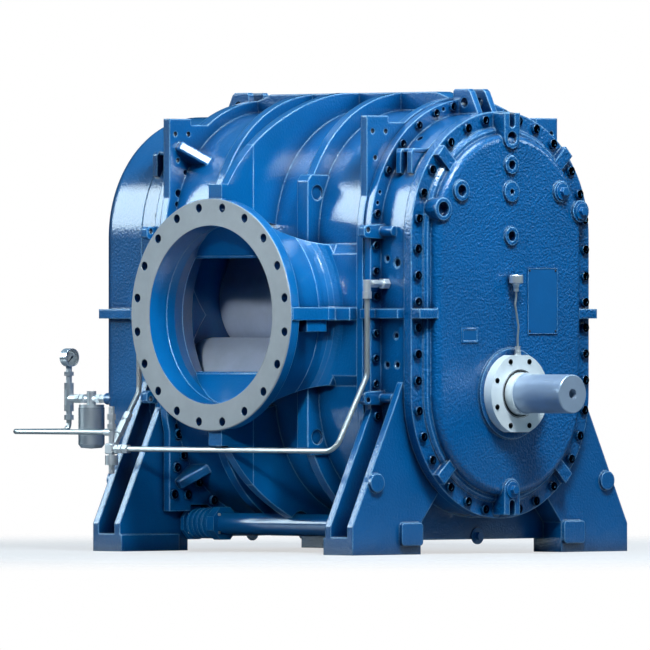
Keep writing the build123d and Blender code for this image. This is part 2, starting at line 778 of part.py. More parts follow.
def slanted_fitting():
    """The nuts and the elbow that join the slanted pipe to the manifold."""
    upright = disc_z(11, 0, 150)
    for low, high, radius in ((20, 56, 15), (62, 112, 17), (122, 150, 16)):
        upright += hex_nut_z(0, 0, low, high, radius)
    return Plane(origin=(LINE_X, MANIFOLD_Y, LINE_Z), z_dir=slant()) * upright


def oil_manifold():
    """The cross fitting where the oil lines meet, with a knurled screw-down valve below."""
    x, y = LINE_X, MANIFOLD_Y
    body = Pos(x, y, LINE_Z) * chamfer(Box(36, 36, 36).edges(), 4)
    body += disc_y(11, y - 84, y, x, LINE_Z)
    for low, high, radius in ((y - 84, y - 62, 16), (y - 58, y - 42, 17), (y - 38, y - 22, 15)):
        body += bar_y(Pos(x, LINE_Z) * RegularPolygon(radius, 6), low, high)
    body += slanted_fitting()
    body += disc_z(22, LINE_Z - 55, LINE_Z - 22, x, y)
    body += disc_z(10, LINE_Z - 84, LINE_Z, x, y)
    body += disc_z(10, LINE_Z, LINE_Z + 143, x, y)
    for low, high in ((LINE_Z + 66, LINE_Z + 84), (LINE_Z + 98, LINE_Z + 118)):
        body += hex_nut_z(x, y, low, high, 15)
    return body + disc_y(12, y, y + 30, x, RETURN_Z)


def oil_return_pipe():
    route = (
        (LINE_X, MANIFOLD_Y + 30, RETURN_Z),
        (LINE_X, COLUMN_Y, RETURN_Z),
        (COLUMN_X, COLUMN_Y, RETURN_Z),
        (COLUMN_X, COLUMN_Y, RETURN_Z + 38),
    )
    return pipe(route, TUBE_R, 28)


def hex_nut_z(x, y, low, high, radius=17):
    return bar_z(Pos(x, y) * RegularPolygon(radius, 6), low, high)


def tee_column():
    """The column of fittings between the return pipe, the filter and the gauge."""
    x, y = COLUMN_X, COLUMN_Y
    body = disc_z(10, RETURN_Z + 38, GAUGE_Z - 38, x, y)
    for low, high in ((RETURN_Z + 38, RETURN_Z + 55), (471, 491), (546, 568), (592, 606)):
        body += hex_nut_z(x, y, low, high)
    body += disc_z(16, 491, 546, x, y)
    body += disc_y(14, y - 40, y, x, TEE_Z)
    return body + bar_y(Pos(x, TEE_Z) * RegularPolygon(17, 6), y - 60, y - 40)


def filter_head():
    """The filter's head, with its pipe from the gear cover."""
    body = disc_z(43, 484, 494, COLUMN_X, FILTER_Y) + disc_z(16, 490, 540, COLUMN_X, FILTER_Y)
    start = REAR_END
    body += disc_y(10, start, COLUMN_Y - 60, COLUMN_X, TEE_Z)
    for low, high in ((start, start + 24), (FILTER_Y - 52, FILTER_Y - 32), (FILTER_Y + 31, FILTER_Y + 48)):
        body += bar_y(Pos(COLUMN_X, TEE_Z) * RegularPolygon(17, 6), low, high)
    return body


def filter_can():
    return turned_z([(0, 484), (45, 484), (45, 358), (36, 346), (0, 343)], COLUMN_X, FILTER_Y)


GAUGE_FRONT = COLUMN_Y - 18


def gauge_case():
    case = ring_y(31, 28, GAUGE_FRONT, GAUGE_FRONT + 9, COLUMN_X, GAUGE_Z)
    case += hex_nut_z(COLUMN_X, COLUMN_Y, GAUGE_Z - 38, GAUGE_Z - 28, 11)
    return case + disc_y(31, GAUGE_FRONT + 8, GAUGE_FRONT + 32, COLUMN_X, GAUGE_Z)


def gauge_pointer():
    """A pointer at zero, towards the lower left of the dial, on its spindle."""
    hand = polygon((-2.2, -6), (2.2, -6), (0.8, 22), (-0.8, 22))
    hand = Pos(COLUMN_X, GAUGE_Z) * Rot(0, 0, 135) * (hand + Circle(4))
    return bar_y(hand, GAUGE_FRONT + 3.2, GAUGE_FRONT + 4.4)


# ---- Oil equaliser between the feet

BELLOWS_START = 370.0
BELLOWS_END = 484.0


def equaliser_tube():
    tube = disc_y(EQUALISER_R, -FOOT_BACK, BELLOWS_START - 33, EQUALISER_X, EQUALISER_Z)
    return tube + disc_y(EQUALISER_R + 7, -FOOT_BACK, -FOOT_BACK + 14, EQUALISER_X, EQUALISER_Z)


def bellows():
    """A steel expansion bellows with five folds."""
    folds = 5
    pitch = (BELLOWS_END - BELLOWS_START) / folds
    outline = [(BELLOWS_START, 0)]
    for fold in range(folds):
        start = BELLOWS_START + fold * pitch
        outline += [(start, 38), (start + 0.25 * pitch, 52), (start + 0.6 * pitch, 52), (start + 0.85 * pitch, 38)]
    outline += [(BELLOWS_END, 38), (BELLOWS_END, 0)]
    return turned_y(outline, EQUALISER_X, EQUALISER_Z)


def equaliser_plates():
    corner = RegularPolygon(60, 8, rotation=22.5)
    place = Pos(EQUALISER_X, EQUALISER_Z)
    return [
        bar_y(place * corner, BELLOWS_START - 33, BELLOWS_START),
        bar_y(place * corner, BELLOWS_END, FOOT_BACK),
    ]


# ---- The whole pump

def make_castings():
    keep("rotor_casing", rotor_casing())
    keep("outlet_nozzle", nozzle())
    keep("inlet_nozzle", mirror(nozzle(), Plane.YZ))
    keep("drive_end_side_plate", side_plate(18))
    keep("gear_end_side_plate", mirror(side_plate(18), Plane.XZ))
    keep("front_cover", front_cover())
    keep("timing_gear_cover", rear_cover())
    keep("bearing_outer_rings", *bearing_caps())


def make_rotors():
    keep("drive_rotor", rotor(LOWER_Z, 0, SHAFT_END) - disc_y(17, -SHAFT_END - 1, -SHAFT_END + 60, 0, LOWER_Z))
    keep("driven_rotor", rotor(UPPER_Z, 90, BARREL_END))
    for name, z, first_tooth in (("drive", LOWER_Z, 90), ("driven", UPPER_Z, -90 + 180 / GEAR_TEETH)):
        keep(name + "_timing_gear", timing_gear(z, first_tooth))
        keep(name + "_gear_nut", lock_nut(z))
        ring = ring_y(93, SEAT_R, -BEARING_OUT, -BEARING_IN, 0, z)
        keep(name + "_bearing_inner_rings", ring, mirror(ring, Plane.XZ))
    keep("oil_slinger", ring_y(230, GEAR_SEAT_R, -656, -646, 0, LOWER_Z))
    keep("shaft_sleeve", shaft_sleeve())


def make_seal_and_breather():
    keep("seal_cover", seal_cover())
    keep("shaft_seal", ring_y(94, 71.5, -730, -708, 0, LOWER_Z))
    keep("breather_cap", breather())
    keep("vent_tube", pipe(VENT_ROUTE, 3.5, 12))
    keep("vent_fitting", vent_fitting())


def make_fasteners():
    keep("front_cover_screws", *screws(COVER_BOLTS, -RIM_END, -1, 16, 18, 10, 50))
    keep("drive_end_casing_screws", *screws(CASING_BOLTS, -ARC_FLANGE_END, -1, 14, 16, 8, 50))
    keep("gear_end_casing_screws", *screws(CASING_BOLTS, ARC_FLANGE_END, 1, 14, 16, 8, 50))
    keep("gear_cover_screws", *screws(REAR_BOLTS, REAR_END, 1, 15, 20, 10, 60))
    seat = CHAMBER_END - PLATE_THICK
    lower_ears = [(way * x, MID_Z + rise) for x, rise in EAR_SCREWS for way in (-1, 1)]
    heads = screws(lower_ears, seat, -1, 17, 16, 8, 10)
    keep("ear_screws", *heads, *[mirror(head, Plane.XZ) for head in heads])
    square = [(EQUALISER_X + x, EQUALISER_Z + z) for x in (-30.5, 30.5) for z in (-30.5, 30.5)]
    front_heads = screws(square, BELLOWS_START - 33, -1, 4.8, 5, 3.5, 20)
    keep("equaliser_screws", *front_heads, *screws(square, BELLOWS_END, -1, 4.8, 3, 3.5, 14))
    ring = [(loc.position.X, LOWER_Z + loc.position.Y) for loc in PolarLocations(115.5, 8, start_angle=22.5)]
    keep("seal_cover_screws", *screws(ring, -768, -1, 9, 9, 6, 30))
    plugs = [
        hex_plug(0, MID_Z - 586, -BOSS_END),
        hex_plug(235, MID_Z + 415, -BOSS_END),
        hex_plug(326, MID_Z + 349, -BOSS_END),
        hex_plug(18, 57, -545),
        mirror(hex_plug(18, 57, -545), Plane.XZ),
    ]
    keep("oil_plugs", *plugs)


def make_oil_system():
    keep("drive_end_oil_fitting", side_fitting(-DROP_Y))
    keep("gear_end_oil_fitting", side_fitting(DROP_Y))
    keep("drive_end_oil_pipe", drive_end_oil_pipe())
    keep("gear_end_oil_pipe", gear_end_oil_pipe())
    keep("oil_manifold", oil_manifold())
    keep("oil_return_pipe", oil_return_pipe())
    keep("tee_column", tee_column())
    keep("filter_head", filter_head())
    keep("filter_can", filter_can())
    keep("gauge_case", gauge_case())
    keep("gauge_dial", disc_y(27.6, GAUGE_FRONT + 6, GAUGE_FRONT + 8, COLUMN_X, GAUGE_Z))
    keep("gauge_glass", disc_y(27.6, GAUGE_FRONT + 0.6, GAUGE_FRONT + 2.4, COLUMN_X, GAUGE_Z))
    keep("gauge_pointer", gauge_pointer())
    keep("equaliser_tube", equaliser_tube())
    keep("equaliser_bellows", bellows())
    keep("equaliser_plates", *equaliser_plates())


def make_plates():
    plate = bar_y(Pos(150.5, MID_Z + 46.5) * RectangleRounded(140, 221, 4), -DOME_END - 3, -DOME_END)
    keep("nameplate", plate)


make_castings()
make_rotors()
make_seal_and_breather()
make_fasteners()
make_oil_system()
make_plates()
for node, solids in NODES.items():
    shape = solids[0] if len(solids) == 1 else Compound(children=[Solid(s.solid().wrapped) for s in solids])
    export_step(shape, "parts/" + node + ".step")
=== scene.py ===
import bmesh
import bpy
import json
import math
from collections import namedtuple
from mathutils import Matrix, Vector


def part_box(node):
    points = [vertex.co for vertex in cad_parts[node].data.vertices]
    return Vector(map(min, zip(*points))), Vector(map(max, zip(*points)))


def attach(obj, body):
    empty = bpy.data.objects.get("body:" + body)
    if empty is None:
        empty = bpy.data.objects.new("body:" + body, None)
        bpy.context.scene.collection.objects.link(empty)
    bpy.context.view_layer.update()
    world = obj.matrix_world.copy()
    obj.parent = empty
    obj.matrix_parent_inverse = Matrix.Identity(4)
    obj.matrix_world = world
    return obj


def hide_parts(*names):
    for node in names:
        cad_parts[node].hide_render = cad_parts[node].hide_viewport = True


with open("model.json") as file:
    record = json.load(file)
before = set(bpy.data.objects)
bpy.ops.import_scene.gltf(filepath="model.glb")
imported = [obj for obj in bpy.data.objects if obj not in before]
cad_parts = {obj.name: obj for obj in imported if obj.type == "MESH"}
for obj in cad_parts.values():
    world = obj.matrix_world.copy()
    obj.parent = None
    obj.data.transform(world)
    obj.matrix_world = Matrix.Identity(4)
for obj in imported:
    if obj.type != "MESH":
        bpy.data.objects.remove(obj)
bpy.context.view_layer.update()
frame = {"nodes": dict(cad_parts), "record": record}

# ---- Places in the shared frame, in metres: the inlet faces -X, and the drive shaft -Y

MID_Z = 0.8                # the middle of both ports
AXIS_RISE = 0.264          # from there to the axis of either rotor
LOWER_Z = MID_Z - AXIS_RISE
FLANGE_FACE_X = 0.6975     # beyond this a nozzle is bare metal
SUNK = 0.001               # how far trim reaches into the solid under it

# ---- Colours, as linear RGB

BLUE = (0.0, 0.13, 0.385)
# Painted highlight: the pale blue laid along open edges
EDGE_HIGHLIGHT_BLUE = (0.26, 0.56, 0.86)
# Painted shade: the near-black blue laid in corners and seams
CORNER_SHADE_BLUE = (0.0, 0.010, 0.055)
ENAMEL_TINT = (0.45, 0.75, 1.0)
FLANGE_METAL = (0.24, 0.255, 0.27)
WHITE = (1.0, 1.0, 1.0)

# ---- Noise scales, in cells per metre

ENAMEL_CLOUDS = 4.0
CAST_SKIN = 125.0
METAL_CLOUDS = 14.0
METAL_SKIN = 260.0
PLAIN_CLOUDS = 40.0


# ---- Node trees

def new_material(name):
    material = bpy.data.materials.new(name)
    material.use_nodes = True
    tree = material.node_tree
    return material, tree, tree.nodes["Principled BSDF"]


def object_place(tree):
    """The object's own coordinates, in metres."""
    return tree.nodes.new("ShaderNodeTexCoord").outputs["Object"]


def noise(tree, scale, detail=3.0, rough=0.5):
    texture = tree.nodes.new("ShaderNodeTexNoise")
    texture.inputs["Scale"].default_value = scale
    texture.inputs["Detail"].default_value = detail
    texture.inputs["Roughness"].default_value = rough
    tree.links.new(object_place(tree), texture.inputs["Vector"])
    return texture.outputs["Fac"]


def bump(tree, height, distance, strength, normal):
    """A bumpy normal, laid over the normal given."""
    node = tree.nodes.new("ShaderNodeBump")
    node.inputs["Distance"].default_value = distance
    node.inputs["Strength"].default_value = strength
    tree.links.new(height, node.inputs["Height"])
    tree.links.new(normal, node.inputs["Normal"])
    return node.outputs["Normal"]


def ramp(tree, factor, *stops):
    """A colour ramp between (place, colour) stops."""
    node = tree.nodes.new("ShaderNodeValToRGB")
    elements = node.color_ramp.elements
    while len(elements) < len(stops):
        elements.new(0.5)
    for element, (place, colour) in zip(elements, stops):
        element.position = place
        element.color = (*colour, 1.0)
    tree.links.new(factor, node.inputs["Fac"])
    return node.outputs["Color"]


def math_node(tree, operation, first, second=None):
    """A sum on one socket, or on a socket and a second socket or number."""
    node = tree.nodes.new("ShaderNodeMath")
    node.operation = operation
    tree.links.new(first, node.inputs[0])
    if isinstance(second, float):
        node.inputs[1].default_value = second
    elif second is not None:
        tree.links.new(second, node.inputs[1])
    return node.outputs["Value"]


def vector_node(tree, operation, first, second=None):
    """A number worked out from one vector or two."""
    node = tree.nodes.new("ShaderNodeVectorMath")
    node.operation = operation
    tree.links.new(first, node.inputs[0])
    if second is not None:
        tree.links.new(second, node.inputs[1])
    return node.outputs["Value"]


def split_vector(tree, vector):
    """The X, Y and Z of a vector, as sockets."""
    node = tree.nodes.new("ShaderNodeSeparateXYZ")
    tree.links.new(vector, node.inputs["Vector"])
    return node.outputs


def lifted(tree, value):
    """A value from -1 to 1, brought to 0 to 1."""
    node = tree.nodes.new("ShaderNodeMapRange")
    node.inputs["From Min"].default_value = -1.0
    tree.links.new(value, node.inputs["Value"])
    return node.outputs["Result"]


def mapped(tree, value, low, high):
    """A value spread smoothly from 0 at low to 1 at high."""
    node = tree.nodes.new("ShaderNodeMapRange")
    node.interpolation_type = "SMOOTHSTEP"
    node.inputs["From Min"].default_value = low
    node.inputs["From Max"].default_value = high
    tree.links.new(value, node.inputs["Value"])
    return node.outputs["Result"]


def blended(tree, factor, first, second):
    """A mix of two colours; either is a socket or a plain colour."""
    node = tree.nodes.new("ShaderNodeMix")
    node.data_type = "RGBA"
    tree.links.new(factor, node.inputs["Factor"])
    for colour, socket in ((first, node.inputs[6]), (second, node.inputs[7])):
        if isinstance(colour, tuple):
            socket.default_value = (*colour, 1.0)
        else:
            tree.links.new(colour, socket)
    return node.outputs[2]


def mixed(tree, factor, first, second):
    """A mix of two shaders, from the first at 0 to the second at 1."""
    node = tree.nodes.new("ShaderNodeMixShader")
    tree.links.new(factor, node.inputs["Fac"])
    tree.links.new(first, node.inputs[1])
    tree.links.new(second, node.inputs[2])
    return node.outputs["Shader"]


def set_surface(tree, shader):
    tree.links.new(shader, tree.nodes["Material Output"].inputs["Surface"])


def rounded_edges(tree, radius):
    """The normal of the skin, as if its edges were rounded."""
    node = tree.nodes.new("ShaderNodeBevel")
    node.samples = 4
    node.inputs["Radius"].default_value = radius
    return node.outputs["Normal"]


def open_air(tree, reach):
    """1 on open skin, falling towards 0 down in corners and seams, where the painted shade goes."""
    node = tree.nodes.new("ShaderNodeAmbientOcclusion")
    node.samples = 6
    node.inputs["Distance"].default_value = reach
    return mapped(tree, node.outputs["AO"], 0.25, 0.9)


def sharp_edge(tree, rounded):
    """1 along the edges that the rounded normal turns over, where the painted highlight goes."""
    skin = tree.nodes.new("ShaderNodeNewGeometry").outputs["Normal"]
    return mapped(tree, vector_node(tree, "DOT_PRODUCT", rounded, skin), 0.99, 0.88)


# ---- Materials

def set_paint(tree, shader, colour, grain, edge, reach):
    """Gloss enamel over a casting, with a painted highlight on the edges and painted shade within reach of
    a corner.

    Grain is how strongly the cast skin shows through.
    """
    deep = tuple(0.84 * channel for channel in colour)
    clouds = ramp(tree, noise(tree, ENAMEL_CLOUDS, 5.0, 0.6), (0.35, deep), (0.62, colour))
    rounded = rounded_edges(tree, edge)
    air = open_air(tree, reach)
    # Painted highlight: the open edges that take the pale edge colour
    highlight_edge = math_node(tree, "MULTIPLY", sharp_edge(tree, rounded), air)
    # Painted shade darkens the enamel in corners and seams, then the painted highlight lightens the open
    # edges
    shade = blended(tree, highlight_edge, blended(tree, air, CORNER_SHADE_BLUE, clouds), EDGE_HIGHLIGHT_BLUE)
    tree.links.new(shade, shader.inputs["Base Color"])
    shader.inputs["Roughness"].default_value = 0.45
    shader.inputs["Specular IOR Level"].default_value = 0.25
    shader.inputs["Specular Tint"].default_value = (*ENAMEL_TINT, 1.0)
    shader.inputs["Coat Weight"].default_value = 1.0
    shader.inputs["Coat Roughness"].default_value = 0.12
    cast_skin = noise(tree, CAST_SKIN, 2.0, 0.5)
    relief = bump(tree, cast_skin, 0.006, 0.55 * grain, rounded)
    tree.links.new(relief, shader.inputs["Normal"])
    gloss = bump(tree, cast_skin, 0.004, 0.18 * grain, rounded)
    tree.links.new(gloss, shader.inputs["Coat Normal"])


def paint(name, colour, grain, edge=0.008, reach=0.10):
    material, tree, shader = new_material(name)
    set_paint(tree, shader, colour, grain, edge, reach)
    return material


def set_metal(tree, shader, colour, rough, scratch, edge, bare):
    """Bare metal; a lower bare value gives a softer, more diffuse skin."""
    worn = tuple(min(1.0, 1.15 * channel) for channel in colour)
    shade = ramp(tree, noise(tree, METAL_CLOUDS, 5.0, 0.6), (0.3, colour), (0.7, worn))
    tree.links.new(shade, shader.inputs["Base Color"])
    shader.inputs["Metallic"].default_value = bare
    shader.inputs["Roughness"].default_value = rough
    skin = bump(tree, noise(tree, METAL_SKIN), 0.0003, 0.15 + scratch, rounded_edges(tree, edge))
    tree.links.new(skin, shader.inputs["Normal"])


def metal(name, colour, rough, bare=1.0):
    material, tree, shader = new_material(name)
    set_metal(tree, shader, colour, rough, scratch=0.0, edge=0.001, bare=bare)
    return material


def flange_paint(name, colour, face_x):
    """Enamel, with the flange face beyond face_x left as machined metal."""
    material, tree, shader = new_material(name)
    set_paint(tree, shader, colour, grain=0.4, edge=0.004, reach=0.10)
    face = tree.nodes.new("ShaderNodeBsdfPrincipled")
    set_metal(tree, face, FLANGE_METAL, rough=0.5, scratch=0.2, edge=0.002, bare=0.35)
    across = math_node(tree, "ABSOLUTE", split_vector(tree, object_place(tree))["X"])
    on_face = math_node(tree, "GREATER_THAN", across, face_x)
    set_surface(tree, mixed(tree, on_face, shader.outputs["BSDF"], face.outputs["BSDF"]))
    return material


def plain(name, colour, rough):
    material, tree, shader = new_material(name)
    deep = tuple(0.92 * channel for channel in colour)
    shade = ramp(tree, noise(tree, PLAIN_CLOUDS), (0.4, deep), (0.6, colour))
    tree.links.new(shade, shader.inputs["Base Color"])
    shader.inputs["Roughness"].default_value = rough
    return material


def glass(name):
    material, tree, shader = new_material(name)
    shade = ramp(tree, noise(tree, PLAIN_CLOUDS), (0.4, (0.92, 0.96, 0.96)), (0.6, WHITE))
    tree.links.new(shade, shader.inputs["Base Color"])
    shader.inputs["Roughness"].default_value = 0.03
    shader.inputs["Transmission Weight"].default_value = 1.0
    return material


SMOOTH_PAINT = paint("smooth_blue_enamel", BLUE, grain=0.1, edge=0.002, reach=0.003)
NOZZLE_PAINT = flange_paint("nozzle_enamel", BLUE, FLANGE_FACE_X)
FACED = metal("faced_steel", (0.84, 0.87, 0.89), 0.36, bare=0.15)
OXIDE = metal("black_oxide_steel", (0.03, 0.032, 0.036), 0.4, bare=0.6)
GEAR = metal("ground_gear_steel", (0.4, 0.4, 0.42), 0.35)
BLACK = plain("black_enamel", (0.01, 0.01, 0.01), 0.4)

SLOT_MATERIAL = {
    "blue_paint": paint("cast_blue_enamel", BLUE, grain=0.65),
    "blue_fittings": SMOOTH_PAINT,
    "rotor_iron": metal("machined_rotor_iron", (0.39, 0.47, 0.59), 0.3, bare=0.4),
    "shaft_steel": metal("ground_shaft_steel", (0.40, 0.45, 0.52), 0.24),
    "machined_steel": metal("turned_steel", (0.78, 0.79, 0.80), 0.25, bare=0.7),
    "gear_steel": GEAR,
    "bearing_steel": metal("bearing_steel", (0.58, 0.58, 0.6), 0.22),
    "fitting_steel": metal("plated_fitting_steel", (0.68, 0.69, 0.70), 0.3, bare=0.65),
    "pipe_steel": metal("drawn_tube_steel", (0.5, 0.51, 0.5), 0.3, bare=0.7),
    "seal_rubber": plain("seal_rubber", (0.02, 0.02, 0.02), 0.6),
    "dial_white": plain("dial_white", (0.8, 0.8, 0.78), 0.5),
    "pointer_black": BLACK,
    "gauge_glass": glass("gauge_glass"),
}

NODE_MATERIAL = {
    "front_cover": paint("rough_cast_blue_enamel", BLUE, grain=1.6),
    "inlet_nozzle": NOZZLE_PAINT,
    "outlet_nozzle": NOZZLE_PAINT,
    "seal_cover": FACED,
    "shaft_sleeve": FACED,
}


def dress_cad_nodes():
    """A node takes its own material, or else the one of its slot in the record."""
    slots = {row["node"]: row["material_slot"] for row in frame["record"]["subparts"]}
    for node, thing in frame["nodes"].items():
        material = NODE_MATERIAL.get(node, SLOT_MATERIAL[slots[node]])
        for slot in thing.material_slots:
            slot.material = material


dress_cad_nodes()


# ---- Outlines and meshes

SMOOTH_ANGLE = math.radians(35.0)


def circle(radius, height, count=24):
    turns = [2 * math.pi * step / count for step in range(count)]
    return [(radius * math.cos(turn), radius * math.sin(turn), height) for turn in turns]


def hexagon(radius, height, count=24):
    """Points along a hexagon, as many as in a circle."""
    points = []
    for step in range(count):
        turn = 2 * math.pi * step / count
        into = (turn % (math.pi / 3)) - math.pi / 6
        reach = radius * math.cos(math.pi / 6) / math.cos(into)
        points.append((reach * math.cos(turn), reach * math.sin(turn), height))
    return points


def rectangle(width, height, inset, lift):
    across = width / 2 - inset
    up = height / 2 - inset
    return [(-across, -up, lift), (across, -up, lift), (across, up, lift), (-across, up, lift)]


def facing(point, way):
    """A place whose own Z runs along Y, the way given."""
    turn = Matrix.Rotation(math.radians(90 if way < 0 else -90), 4, "X")
    return Matrix.Translation(point) @ turn


def add_rings(work, place, rings, hollow=False):
    """Joins rings of points into a closed skin, capped at both ends or, if hollow, end to end."""
    loops = [[work.verts.new(place @ Vector(point)) for point in ring] for ring in rings]
    count = len(loops[0])
    pairs = list(zip(loops, loops[1:]))
    if hollow:
        pairs.append((loops[-1], loops[0]))
    else:
        work.faces.new(loops[0])
        work.faces.new(loops[-1])
    for first, second in pairs:
        for step in range(count):
            after = (step + 1) % count
            work.faces.new((first[step], first[after], second[after], second[step]))


def finish_mesh(name, work):
    """A mesh with outward faces, smooth but for its sharp edges."""
    bmesh.ops.recalc_face_normals(work, faces=work.faces)
    mesh = bpy.data.meshes.new(name)
    for face in work.faces:
        face.smooth = True
    for edge in work.edges:
        if len(edge.link_faces) == 2 and edge.calc_face_angle() > SMOOTH_ANGLE:
            edge.smooth = False
    work.to_mesh(mesh)
    work.free()
    return mesh


def add_piece(name, work, material, body="root", *nodes):
    """A piece that rides a body, and stands in for the CAD nodes named."""
    mesh = finish_mesh(name, work)
    thing = bpy.data.objects.new(name, mesh)
    bpy.context.scene.collection.objects.link(thing)
    mesh.materials.append(material)
    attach(thing, body)
    if nodes:
        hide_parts(*nodes)


# ---- Socket screws

Seat = namedtuple("Seat", "y way radius height")
SEAT_SLACK = 0.002         # how near a head's tip has to be to the seat's own


def loose_parts(node):
    """The low and high corners of every loose part of a CAD node."""
    thing = frame["nodes"][node]
    work = bmesh.new()
    work.from_mesh(thing.data)
    work.transform(thing.matrix_world)
    unseen = set(work.verts)
    boxes = []
    while unseen:
        stack = [unseen.pop()]
        low, high = stack[0].co.copy(), stack[0].co.copy()
        while stack:
            vert = stack.pop()
            for axis in range(3):
                low[axis] = min(low[axis], vert.co[axis])
                high[axis] = max(high[axis], vert.co[axis])
            for edge in vert.link_edges:
                other = edge.other_vert(vert)
                if other in unseen:
                    unseen.remove(other)
                    stack.append(other)
        boxes.append((low, high))
    work.free()
    return boxes


def socket_head(work, place, radius, height):
    """A screw head with a chamfered rim and a shallow hexagon socket."""
    rim = 0.1 * radius
    socket = 0.42 * radius
    add_rings(work, place, [
        circle(radius, -SUNK / 2),
        circle(radius, height - rim),
        circle(radius - rim, height),
        hexagon(socket * 1.08, height),
        hexagon(socket, height - 0.5 * rim),
        hexagon(socket, height * 0.8),
    ])


def add_socket_screws(node, *seats, material=SMOOTH_PAINT, shown=0.65):
    """Socket heads in place of a node's plain ones, each as high as the shown part of its seat's height.

    The photo shows the heads lower than the CAD has them.
    """
    work = bmesh.new()
    for low, high in loose_parts(node):
        middle = (low + high) / 2
        for seat in seats:
            tip = low.y if seat.way < 0 else high.y
            if abs(tip - (seat.y + seat.way * seat.height)) < SEAT_SLACK:
                place = facing((middle.x, seat.y, middle.z), seat.way)
                socket_head(work, place, seat.radius, shown * seat.height)
    add_piece(node + "_sockets", work, material, "root", node)


add_socket_screws("front_cover_screws", Seat(-0.676, -1, 0.016, 0.018))
add_socket_screws("drive_end_casing_screws", Seat(-0.526, -1, 0.014, 0.016))
add_socket_screws("gear_end_casing_screws", Seat(0.526, 1, 0.014, 0.016))
add_socket_screws("gear_cover_screws", Seat(0.835, 1, 0.015, 0.020))
add_socket_screws("ear_screws", Seat(0.465, -1, 0.017, 0.016), Seat(-0.465, 1, 0.017, 0.016))
add_socket_screws("seal_cover_screws", Seat(-0.768, -1, 0.009, 0.009), material=OXIDE, shown=0.3)


# ---- Trim

def add_name_plate_trim():
    """A thin raised border and four rivets on the bare plate."""
    low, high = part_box("nameplate")
    middle = (Vector(low) + Vector(high)) / 2
    width = high[0] - low[0]
    height = high[2] - low[2]
    face = facing((middle.x, low[1], middle.z), -1)
    border = 0.0022
    rise = 0.0012
    work = bmesh.new()
    add_rings(work, face, [
        rectangle(width, height, 0.0, -SUNK),
        rectangle(width, height, 0.0, rise),
        rectangle(width, height, border, rise),
        rectangle(width, height, border, -SUNK),
    ], hollow=True)
    add_piece("nameplate_border", work, SMOOTH_PAINT)
    inset = 0.009
    rivet = [circle(0.0042, -SUNK), circle(0.0038, 0.001), circle(0.0015, 0.002)]
    work = bmesh.new()
    for side in (-1, 1):
        for end in (-1, 1):
            seat = Matrix.Translation((side * (width / 2 - inset), end * (height / 2 - inset), 0.0))
            add_rings(work, face @ seat, rivet)
    add_piece("nameplate_rivets", work, OXIDE)


def add_cover_pad():
    """The small bare pad cast on the front cover, with a raised rim."""
    width = 0.079
    height = 0.051
    face = facing((-0.1915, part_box("nameplate")[1][1], MID_Z - 0.0685), -1)
    steps = ((0.0, -SUNK), (0.0, 0.0028), (0.003, 0.0040), (0.006, 0.0040), (0.008, 0.0020))
    work = bmesh.new()
    add_rings(work, face, [rectangle(width, height, inset, lift) for inset, lift in steps])
    add_piece("cover_pad", work, SMOOTH_PAINT)


def add_band(name, place, inner, outer, rise, material):
    """A flat ring on a face, between two radii."""
    corners = ((inner, -SUNK), (inner, rise), (outer, rise), (outer, -SUNK))
    work = bmesh.new()
    add_rings(work, place, [circle(radius, lift, 64) for radius, lift in corners], hollow=True)
    add_piece(name, work, material)


def add_seal_lip():
    """The dark dust lip and its steel retaining ring, round the shaft sleeve."""
    low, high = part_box("seal_cover")
    face = facing(((low[0] + high[0]) / 2, low[1], LOWER_Z), -1)
    add_band("seal_lip", face, 0.0735, 0.0765, 0.002, BLACK)
    add_band("seal_retaining_ring", face, 0.0795, 0.0820, 0.0015, GEAR)


def add_gauge_scale():
    """Plain graduations round the gauge dial, with every fifth one long and broad."""
    low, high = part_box("gauge_dial")
    face = facing(((low[0] + high[0]) / 2, low[1], (low[2] + high[2]) / 2), -1)
    steps = 50
    outer = 0.0235
    lift = 0.0003
    work = bmesh.new()
    for step in range(steps + 1):
        inner, width = (0.0175, 0.0010) if step % 5 == 0 else (0.0200, 0.0004)
        turn = Matrix.Rotation(math.radians(-135 + 270 * step / steps), 4, "Z")
        place = face @ turn @ Matrix.Translation((0.0, (inner + outer) / 2, 0.0))
        add_rings(work, place, [rectangle(width, outer - inner, 0.0, z) for z in (-lift, lift)])
    add_piece("gauge_scale", work, BLACK)


add_name_plate_trim()
add_cover_pad()
add_seal_lip()
add_gauge_scale()


# ---- Camera: far away and level, a little below the middle of the ports

VIEW_TURN = math.radians(44.0)     # how far the view is turned from +Y towards +X
DISTANCE = 45.0
LENS = 735.2
SENSOR_WIDTH = 36.0
SIDE_STEP = -0.1192                # sideways from the origin, negative to the left
EYE_Z = 0.766


def add_camera():
    ahead = Vector((math.sin(VIEW_TURN), math.cos(VIEW_TURN), 0.0))
    right = Vector((math.cos(VIEW_TURN), -math.sin(VIEW_TURN), 0.0))
    data = bpy.data.cameras.new("camera")
    data.lens = LENS
    data.sensor_width = SENSOR_WIDTH
    data.clip_start = 1.0
    data.clip_end = 400.0
    camera = bpy.data.objects.new("camera", data)
    camera.location = -DISTANCE * ahead + SIDE_STEP * right + Vector((0, 0, EYE_Z))
    camera.rotation_euler = (math.pi / 2, 0.0, -VIEW_TURN)
    bpy.context.scene.collection.objects.link(camera)
    bpy.context.scene.camera = camera


add_camera()


# ---- Floor and world

FLOOR_R = 4.2              # the floor ends at this radius
FADE_START = 1.3           # and is fully there up to this one
FLOOR_GLOW = 0.62          # the share of the floor that the camera sees as plain white
FLOOR_DARK = (0.16, 0.18, 0.2)
FLOOR_PALE = (0.9, 0.92, 0.94)


